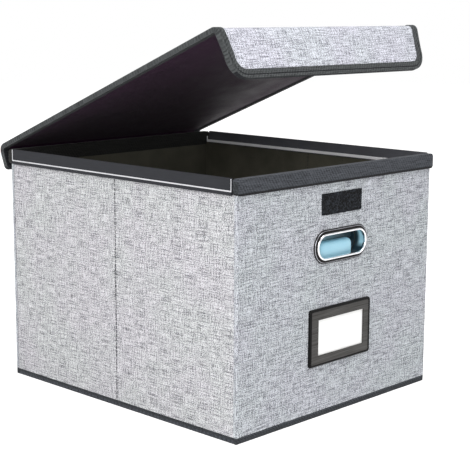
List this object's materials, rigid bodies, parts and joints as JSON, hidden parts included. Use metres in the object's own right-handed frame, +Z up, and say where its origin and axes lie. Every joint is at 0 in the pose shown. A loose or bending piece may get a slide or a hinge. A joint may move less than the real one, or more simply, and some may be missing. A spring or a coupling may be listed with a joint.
{
  "type": "collapsible file box",
  "caption": "Fabric-covered folding file box with a hinged lid standing open, file rails along both sides, cut-out handles and a card label frame.",
  "frame": {"origin": "on the floor, in the middle of the whole object's footprint with the lid standing open", "axes": "+Z up, +X across the box to the right as seen from the front, +Y from the front wall to the rear wall"},
  "size_m": [0.3274, 0.388, 0.4141],
  "materials": {
    "linen": "plain woven linen-look fabric, light grey with dark slubs",
    "lining": "near-black non-woven lining with a soft sheen",
    "woven_tape": "dark grey woven tape",
    "greyboard": "dense grey board",
    "rail_plastic": "dark grey extruded plastic, satin",
    "chrome": "bright plated metal",
    "blue_moulding": "smooth pale-blue moulding",
    "patch_pile": "black hook-and-loop pile",
    "label_metal": "dark grey-brown lacquered metal",
    "card_paper": "plain white card"
  },
  "bodies": {
    "rear_wall": {"rear_cover": "linen", "rear_board": "greyboard", "rear_lining": "lining", "rear_trim": "woven_tape", "rear_foot_binding": "woven_tape", "rear_bezel": "chrome", "rear_handle_liner": "blue_moulding", "lid_hinge_strip": "woven_tape"},
    "left_rear": {"left_rear_cover": "linen", "left_rear_board": "greyboard", "left_rear_lining": "lining", "left_rear_foot_binding": "woven_tape"},
    "left_front": {"left_front_cover": "linen", "left_front_board": "greyboard", "left_front_lining": "lining", "left_front_foot_binding": "woven_tape"},
    "front_wall": {"front_cover": "linen", "front_board": "greyboard", "front_lining": "lining", "front_trim": "woven_tape", "front_foot_binding": "woven_tape", "front_bezel": "chrome", "front_handle_liner": "blue_moulding", "hook_patch": "patch_pile", "label_frame": "label_metal"},
    "right_rear": {"right_rear_cover": "linen", "right_rear_board": "greyboard", "right_rear_lining": "lining", "right_rear_foot_binding": "woven_tape"},
    "right_front": {"right_front_cover": "linen", "right_front_board": "greyboard", "right_front_lining": "lining", "right_front_foot_binding": "woven_tape"},
    "floor_rear": {"floor_rear_fabric": "woven_tape", "floor_rear_board": "greyboard", "floor_rear_lining": "lining"},
    "floor_front": {"floor_front_fabric": "woven_tape", "floor_front_board": "greyboard", "floor_front_lining": "lining"},
    "left_rail": {"left_rail": "rail_plastic"},
    "right_rail": {"right_rail": "rail_plastic"},
    "lid": {"lid_cover": "linen", "lid_front_board": "greyboard", "lid_top_board": "greyboard", "lid_rear_board": "greyboard", "lid_lining": "lining", "lid_binding": "woven_tape", "loop_patch": "patch_pile"},
    "label_card": {"label_card": "card_paper"}
  },
  "joints": [
    {"name": "fold", "type": "hinge", "parent": "rear_wall", "child": "left_rear", "pos_m": [-0.1555, 0.17092, 0.13], "axis": [0, 0, 1], "range_deg": [0, 60]},
    {"name": "left_crease", "type": "hinge", "parent": "left_rear", "child": "left_front", "pos_m": [-0.16, -0.00758, 0.13], "axis": [0, 0, 1], "range_deg": [-120, 0]},
    {"name": "front_corner", "type": "hinge", "parent": "left_front", "child": "front_wall", "pos_m": [-0.1555, -0.18608, 0.13], "axis": [0, 0, 1], "range_deg": [0, 60]},
    {"name": "right_fold", "type": "hinge", "parent": "rear_wall", "child": "right_rear", "pos_m": [0.1555, 0.17092, 0.13], "axis": [0, 0, 1], "range_deg": [-60, 0]},
    {"name": "right_crease", "type": "hinge", "parent": "right_rear", "child": "right_front", "pos_m": [0.16, -0.00758, 0.13], "axis": [0, 0, 1], "range_deg": [0, 120]},
    {"name": "floor_fold", "type": "hinge", "parent": "rear_wall", "child": "floor_rear", "pos_m": [0, 0.17092, 0], "axis": [1, 0, 0], "range_deg": [0, 60]},
    {"name": "floor_crease", "type": "hinge", "parent": "floor_rear", "child": "floor_front", "pos_m": [0, -0.00758, 0.0045], "axis": [1, 0, 0], "range_deg": [-120, 0]},
    {"name": "left_rail_slide", "type": "slide", "parent": "rear_wall", "child": "left_rail", "axis": [-1, 0, 0], "range_m": [0, 0.105]},
    {"name": "right_rail_slide", "type": "slide", "parent": "rear_wall", "child": "right_rail", "axis": [1, 0, 0], "range_m": [0, 0.105]},
    {"name": "lid_hinge", "type": "hinge", "parent": "rear_wall", "child": "lid", "pos_m": [0, 0.18052, 0.2465], "axis": [-1, 0, 0], "range_deg": [-22, 138]},
    {"name": "card_slide", "type": "slide", "parent": "front_wall", "child": "label_card", "axis": [0, 0, 1], "range_m": [0, 0.048]}
  ],
  "couplings": [
    {"joint": "left_crease", "follows": "fold", "ratio": -2},
    {"joint": "front_corner", "follows": "fold", "ratio": 1},
    {"joint": "right_fold", "follows": "fold", "ratio": -1},
    {"joint": "right_crease", "follows": "fold", "ratio": 2},
    {"joint": "floor_fold", "follows": "fold", "ratio": 1},
    {"joint": "floor_crease", "follows": "fold", "ratio": -2},
    {"joint": "left_rail_slide", "follows": "fold", "m_per_rad": 0.1},
    {"joint": "right_rail_slide", "follows": "fold", "m_per_rad": 0.1}
  ]
}
